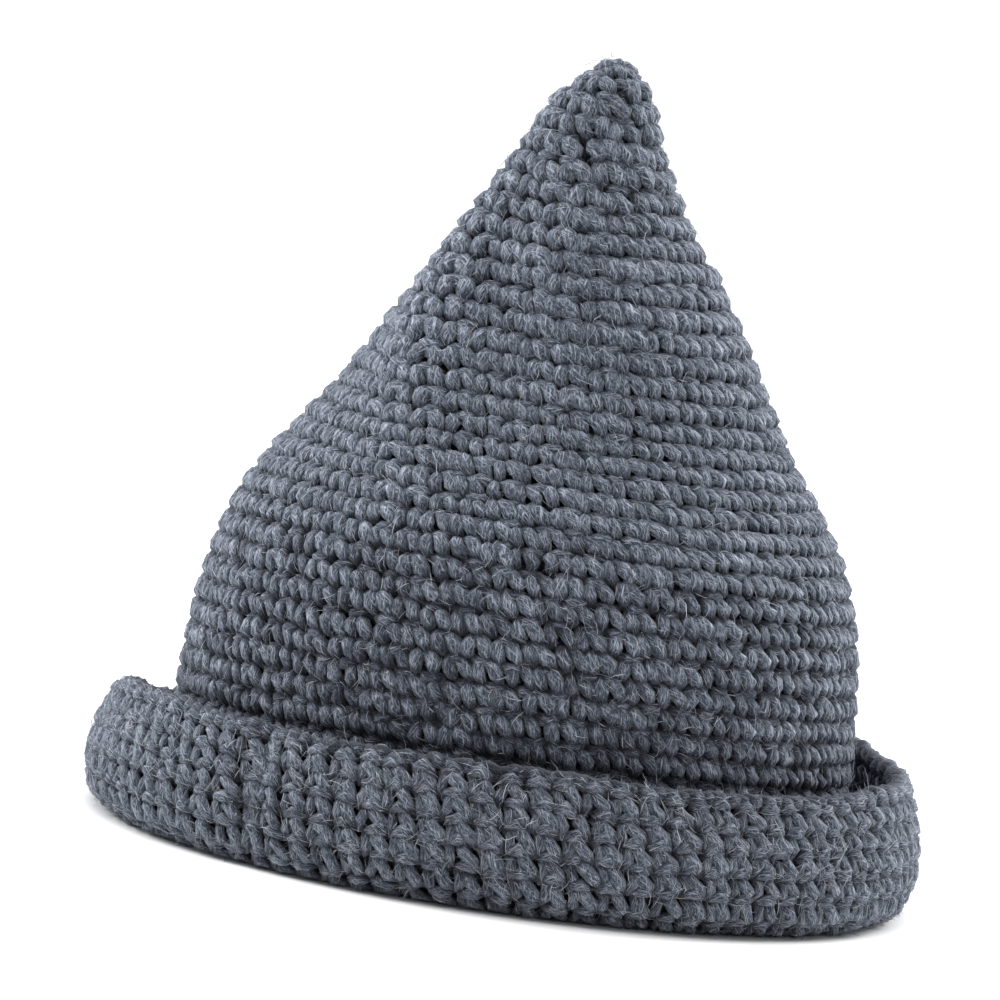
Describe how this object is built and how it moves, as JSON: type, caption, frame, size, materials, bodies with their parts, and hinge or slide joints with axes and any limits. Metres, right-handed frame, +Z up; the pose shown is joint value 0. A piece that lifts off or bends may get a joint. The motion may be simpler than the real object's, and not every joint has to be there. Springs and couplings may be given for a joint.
{
  "type": "beanie",
  "caption": "Tall pointed beanie crocheted in thick grey-blue wool, hollow and open below, standing on a turned-up brim with an open trough behind its rim.",
  "frame": {"origin": "middle of the hat on the surface that the fold of its brim rests on", "axes": "+Z up through the crown's tip, -Y towards the front of the hat, +X towards the wearer's left hand"},
  "size_m": [0.2316, 0.2316, 0.224],
  "materials": {
    "wool": "fuzzy wool"
  },
  "bodies": {
    "root": {"crown": "wool", "brim": "wool"}
  },
  "joints": []
}
